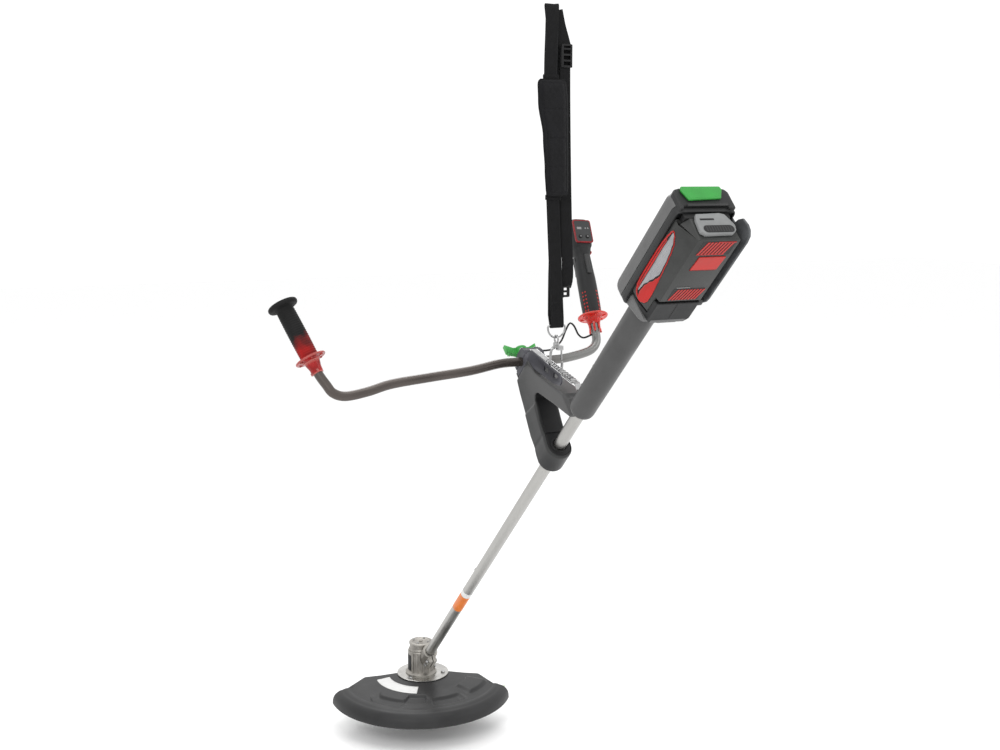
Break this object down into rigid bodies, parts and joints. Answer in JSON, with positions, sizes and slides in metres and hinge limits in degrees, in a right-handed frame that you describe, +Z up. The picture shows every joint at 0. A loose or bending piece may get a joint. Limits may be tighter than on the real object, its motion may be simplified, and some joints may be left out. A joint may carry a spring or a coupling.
{
  "type": "brush cutter",
  "caption": "Cordless brush cutter with an angled cutting head under a guard, a bent handlebar with two grips, a sliding battery and a shoulder strap on a hook.",
  "frame": {"origin": "the point of the hang rail that the strap's hook carries", "axes": "+X to the operator's right, +Y forward towards the cutting head, +Z up"},
  "size_m": [0.7621, 1.3759, 1.7143],
  "materials": {
    "cast": "satin cast",
    "tube": "satin",
    "steel": "bright",
    "dark_steel": "satin",
    "bar": "satin",
    "grey": "fine grain",
    "charcoal": "fine grain",
    "black": "matt",
    "rubber": "matt",
    "red": "gloss",
    "green": "satin",
    "webbing": "woven",
    "line": "satin",
    "copper": "wound"
  },
  "bodies": {
    "cutter": {"clamp_base": "dark_steel", "clamp_bolt_lower": "steel", "clamp_bolt_upper": "steel", "clamp_cap": "dark_steel", "controller": "black", "gear_case": "cast", "gear_case_cap": "cast", "grease_screw": "steel", "guard": "charcoal", "guard_bolt_left": "steel", "guard_bolt_right": "steel", "guard_plate": "steel", "hang_plate": "dark_steel", "hang_rail": "steel", "housing_shell": "grey", "housing_tray": "charcoal", "line_cutter": "steel", "motor_stator": "copper", "pinion_bearing": "steel", "rear_tube": "charcoal", "shaft_bush": "black", "shaft_tube": "tube", "spindle_bearing_lower": "steel", "spindle_bearing_upper": "steel", "terminal_block": "black", "yoke_core": "black", "yoke_left": "grey", "yoke_right": "grey"},
    "head": {"output_spindle": "steel", "crown_gear": "steel", "head_housing": "black", "line_spool": "grey", "trimmer_line_left": "line", "trimmer_line_right": "line"},
    "bump": {"bump_knob": "black", "bump_spring": "steel"},
    "drive": {"drive_shaft": "steel", "drive_pinion": "steel", "motor_rotor": "steel"},
    "handlebar": {"handlebar": "bar", "left_grip": "rubber", "left_flange": "red", "right_grip": "charcoal", "right_flange": "red", "right_bezel": "red", "control_cable": "black"},
    "trigger": {"trigger": "red"},
    "lock_off": {"lock_off": "red"},
    "button_1": {"display_button_1": "black"},
    "button_2": {"display_button_2": "black"},
    "battery": {"battery_case": "charcoal"},
    "battery_latch": {"battery_latch": "black"},
    "release_button": {"release_button": "green"},
    "clamp_knob": {"clamp_knob": "green"},
    "strap": {"strap_loop": "webbing", "shoulder_pad": "webbing", "strap_adjuster": "black", "d_ring": "steel", "hook_body": "steel"},
    "hook_gate": {"hook_gate": "steel"}
  },
  "joints": [
    {"name": "head_spin", "type": "hinge", "parent": "cutter", "child": "head", "pos_m": [0, 0.75148, -0.89891], "axis": [0, 0, 1], "continuous": true},
    {"name": "drive_spin", "type": "hinge", "parent": "cutter", "child": "drive", "pos_m": [0, 0.75148, -0.89891], "axis": [0, -0.7193, 0.6947], "continuous": true},
    {"name": "bump_slide", "type": "slide", "parent": "head", "child": "bump", "axis": [0, 0, 1], "range_m": [0, 0.008], "stiffness_N_per_m": 900, "springref_m": -0.004, "deforming": ["bump_spring"]},
    {"name": "handlebar_tilt", "type": "hinge", "parent": "cutter", "child": "handlebar", "pos_m": [0, 0.1135, -0.00339], "axis": [1, 0, 0], "range_deg": [-15, 15]},
    {"name": "trigger_pull", "type": "hinge", "parent": "handlebar", "child": "trigger", "pos_m": [0.17878, 0.23883, 0.20037], "axis": [-1, 0, 0], "range_deg": [0, 10], "stiffness_Nm_per_rad": 0.3, "springref_deg": -5.73},
    {"name": "lock_off_press", "type": "slide", "parent": "handlebar", "child": "lock_off", "axis": [0, 0.8829, -0.4695], "range_m": [0, 0.0035], "stiffness_N_per_m": 600, "springref_m": -0.001},
    {"name": "display_button_1_press", "type": "slide", "parent": "handlebar", "child": "button_1", "axis": [0, 0.8829, -0.4695], "range_m": [0, 0.0009], "stiffness_N_per_m": 700, "springref_m": -0.0005},
    {"name": "display_button_2_press", "type": "slide", "parent": "handlebar", "child": "button_2", "axis": [0, 0.8829, -0.4695], "range_m": [0, 0.0009], "stiffness_N_per_m": 700, "springref_m": -0.0005},
    {"name": "battery_slide", "type": "slide", "parent": "cutter", "child": "battery", "axis": [0, -0.7193, 0.6947], "range_m": [0, 0.16]},
    {"name": "battery_latch_press", "type": "slide", "parent": "battery", "child": "battery_latch", "axis": [0, -0.6947, -0.7193], "range_m": [0, 0.004], "stiffness_N_per_m": 500, "springref_m": -0.002},
    {"name": "release_button_press", "type": "slide", "parent": "cutter", "child": "release_button", "axis": [0, 0.7193, -0.6947], "range_m": [0, 0.0025], "stiffness_N_per_m": 800, "springref_m": -0.001},
    {"name": "clamp_knob_turn", "type": "hinge", "parent": "cutter", "child": "clamp_knob", "pos_m": [0, 0.15021, 0.00008], "axis": [0, 0.6947, 0.7193], "continuous": true},
    {"name": "strap_swivel", "type": "hinge", "parent": "cutter", "child": "strap", "pos_m": [0, 0, 0], "axis": [0, 0, 1], "range_deg": [-25, 25]},
    {"name": "gate_swing", "type": "hinge", "parent": "strap", "child": "hook_gate", "pos_m": [0.0118, 0, 0.0375], "axis": [0, 1, 0], "range_deg": [0, 25], "stiffness_Nm_per_rad": 0.02, "springref_deg": -17.19}
  ],
  "couplings": [
    {"joint": "drive_spin", "follows": "head_spin", "ratio": -1.2857}
  ]
}
